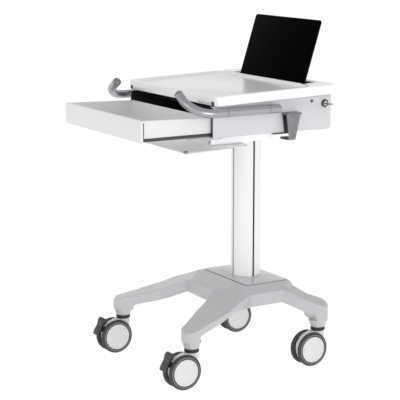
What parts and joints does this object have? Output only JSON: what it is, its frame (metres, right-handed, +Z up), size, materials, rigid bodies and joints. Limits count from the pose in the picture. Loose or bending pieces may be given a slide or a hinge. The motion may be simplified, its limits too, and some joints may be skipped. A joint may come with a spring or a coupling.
{
  "type": "medication cart",
  "caption": "Wheeled medication cart with a slotted column, a sheet-metal drawer box, a lift-up worktop over a laptop bay, a mouse tray, push handles and braked casters.",
  "frame": {"origin": "on the floor, on the column's axis", "axes": "+X is the user's right, -Y is the front where the user stands, +Z is up"},
  "size_m": [0.545, 0.62, 0.9911],
  "materials": {
    "base_grey": "gloss",
    "black_plastic": "satin",
    "black_steel": "satin",
    "box_grey": "satin",
    "chrome": "polished",
    "column_white": "gloss",
    "cover_grey": "gloss",
    "dark_steel": "satin",
    "handle_grey": "satin",
    "hook_grey": "satin",
    "laptop_black": "satin",
    "pedal_grey": "satin",
    "steel": "satin",
    "tray_white": "gloss",
    "tyre": "matte",
    "wheel_grey": "satin",
    "white_plastic": "gloss"
  },
  "bodies": {
    "frame": {"base_frame": "base_grey", "base_cover": "cover_grey", "column_flange": "steel", "flange_bolts": "steel", "column": "column_white", "head_plate": "steel", "box_shell": "box_grey", "laptop_shelf": "dark_steel", "drawer_rails": "dark_steel", "tray_guides": "white_plastic", "handle_left": "handle_grey", "handle_right": "handle_grey", "handle_spacers": "black_plastic", "hook_bracket": "dark_steel", "side_hook": "hook_grey", "side_plug": "black_plastic", "lock_barrel": "black_plastic", "hinge_leaf": "steel", "hinge_pin": "steel", "laptop_base": "laptop_black", "stem_fl": "black_steel", "stem_fr": "black_steel", "stem_rl": "black_steel", "stem_rr": "black_steel"},
    "worktop_lid": {"worktop": "white_plastic", "lid_buffers": "black_plastic"},
    "screen": {"laptop_screen": "laptop_black"},
    "lock_turn": {"lock_core": "chrome", "key": "chrome"},
    "drawer": {"drawer_body": "white_plastic", "drawer_front": "white_plastic", "drawer_runners": "dark_steel"},
    "mouse_shelf": {"mouse_tray": "tray_white", "tray_pad": "black_plastic"},
    "swivel_fl": {"housing_fl": "wheel_grey", "axle_fl": "steel"},
    "wheel_fl_a": {"tyre_fl_a": "tyre", "hub_fl_a": "wheel_grey"},
    "wheel_fl_b": {"tyre_fl_b": "tyre", "hub_fl_b": "wheel_grey"},
    "pedal_fl": {"pedal_fl": "pedal_grey"},
    "swivel_fr": {"housing_fr": "wheel_grey", "axle_fr": "steel"},
    "wheel_fr_a": {"tyre_fr_a": "tyre", "hub_fr_a": "wheel_grey"},
    "wheel_fr_b": {"tyre_fr_b": "tyre", "hub_fr_b": "wheel_grey"},
    "pedal_fr": {"pedal_fr": "pedal_grey"},
    "swivel_rl": {"housing_rl": "wheel_grey", "axle_rl": "steel"},
    "wheel_rl_a": {"tyre_rl_a": "tyre", "hub_rl_a": "wheel_grey"},
    "wheel_rl_b": {"tyre_rl_b": "tyre", "hub_rl_b": "wheel_grey"},
    "swivel_rr": {"housing_rr": "wheel_grey", "axle_rr": "steel"},
    "wheel_rr_a": {"tyre_rr_a": "tyre", "hub_rr_a": "wheel_grey"},
    "wheel_rr_b": {"tyre_rr_b": "tyre", "hub_rr_b": "wheel_grey"}
  },
  "joints": [
    {"name": "worktop_hinge", "type": "hinge", "parent": "frame", "child": "worktop_lid", "pos_m": [0, 0.135, 0.78787], "axis": [-1, 0, 0], "range_deg": [0, 20]},
    {"name": "screen_tilt", "type": "hinge", "parent": "frame", "child": "screen", "pos_m": [0, 0.071, 0.776], "axis": [-1, 0, 0], "range_deg": [-7, 10]},
    {"name": "lock_turn", "type": "hinge", "parent": "frame", "child": "lock_turn", "pos_m": [0.234, 0.109, 0.766], "axis": [1, 0, 0], "range_deg": [0, 90]},
    {"name": "drawer_slide", "type": "slide", "parent": "frame", "child": "drawer", "axis": [0, 1, 0], "range_m": [0, 0.208]},
    {"name": "mouse_tray_slide", "type": "slide", "parent": "frame", "child": "mouse_shelf", "axis": [0, 1, 0], "range_m": [0, 0.103]},
    {"name": "swivel_fl", "type": "hinge", "parent": "frame", "child": "swivel_fl", "pos_m": [-0.202, -0.304, 0.09], "axis": [0, 0, 1], "continuous": true},
    {"name": "roll_fl_a", "type": "hinge", "parent": "swivel_fl", "child": "wheel_fl_a", "pos_m": [-0.202, -0.335, 0.05], "axis": [1, 0, 0], "continuous": true},
    {"name": "roll_fl_b", "type": "hinge", "parent": "swivel_fl", "child": "wheel_fl_b", "pos_m": [-0.202, -0.335, 0.05], "axis": [1, 0, 0], "continuous": true},
    {"name": "brake_fl", "type": "hinge", "parent": "swivel_fl", "child": "pedal_fl", "pos_m": [-0.202, -0.36258, 0.07314], "axis": [1, 0, 0], "range_deg": [0, 12]},
    {"name": "swivel_fr", "type": "hinge", "parent": "frame", "child": "swivel_fr", "pos_m": [0.202, -0.304, 0.09], "axis": [0, 0, 1], "continuous": true},
    {"name": "roll_fr_a", "type": "hinge", "parent": "swivel_fr", "child": "wheel_fr_a", "pos_m": [0.202, -0.335, 0.05], "axis": [1, 0, 0], "continuous": true},
    {"name": "roll_fr_b", "type": "hinge", "parent": "swivel_fr", "child": "wheel_fr_b", "pos_m": [0.202, -0.335, 0.05], "axis": [1, 0, 0], "continuous": true},
    {"name": "brake_fr", "type": "hinge", "parent": "swivel_fr", "child": "pedal_fr", "pos_m": [0.202, -0.36258, 0.07314], "axis": [1, 0, 0], "range_deg": [0, 12]},
    {"name": "swivel_rl", "type": "hinge", "parent": "frame", "child": "swivel_rl", "pos_m": [-0.202, 0.121, 0.09], "axis": [0, 0, 1], "continuous": true},
    {"name": "roll_rl_a", "type": "hinge", "parent": "swivel_rl", "child": "wheel_rl_a", "pos_m": [-0.202, 0.09, 0.05], "axis": [1, 0, 0], "continuous": true},
    {"name": "roll_rl_b", "type": "hinge", "parent": "swivel_rl", "child": "wheel_rl_b", "pos_m": [-0.202, 0.09, 0.05], "axis": [1, 0, 0], "continuous": true},
    {"name": "swivel_rr", "type": "hinge", "parent": "frame", "child": "swivel_rr", "pos_m": [0.202, 0.121, 0.09], "axis": [0, 0, 1], "continuous": true},
    {"name": "roll_rr_a", "type": "hinge", "parent": "swivel_rr", "child": "wheel_rr_a", "pos_m": [0.202, 0.09, 0.05], "axis": [1, 0, 0], "continuous": true},
    {"name": "roll_rr_b", "type": "hinge", "parent": "swivel_rr", "child": "wheel_rr_b", "pos_m": [0.202, 0.09, 0.05], "axis": [1, 0, 0], "continuous": true}
  ]
}
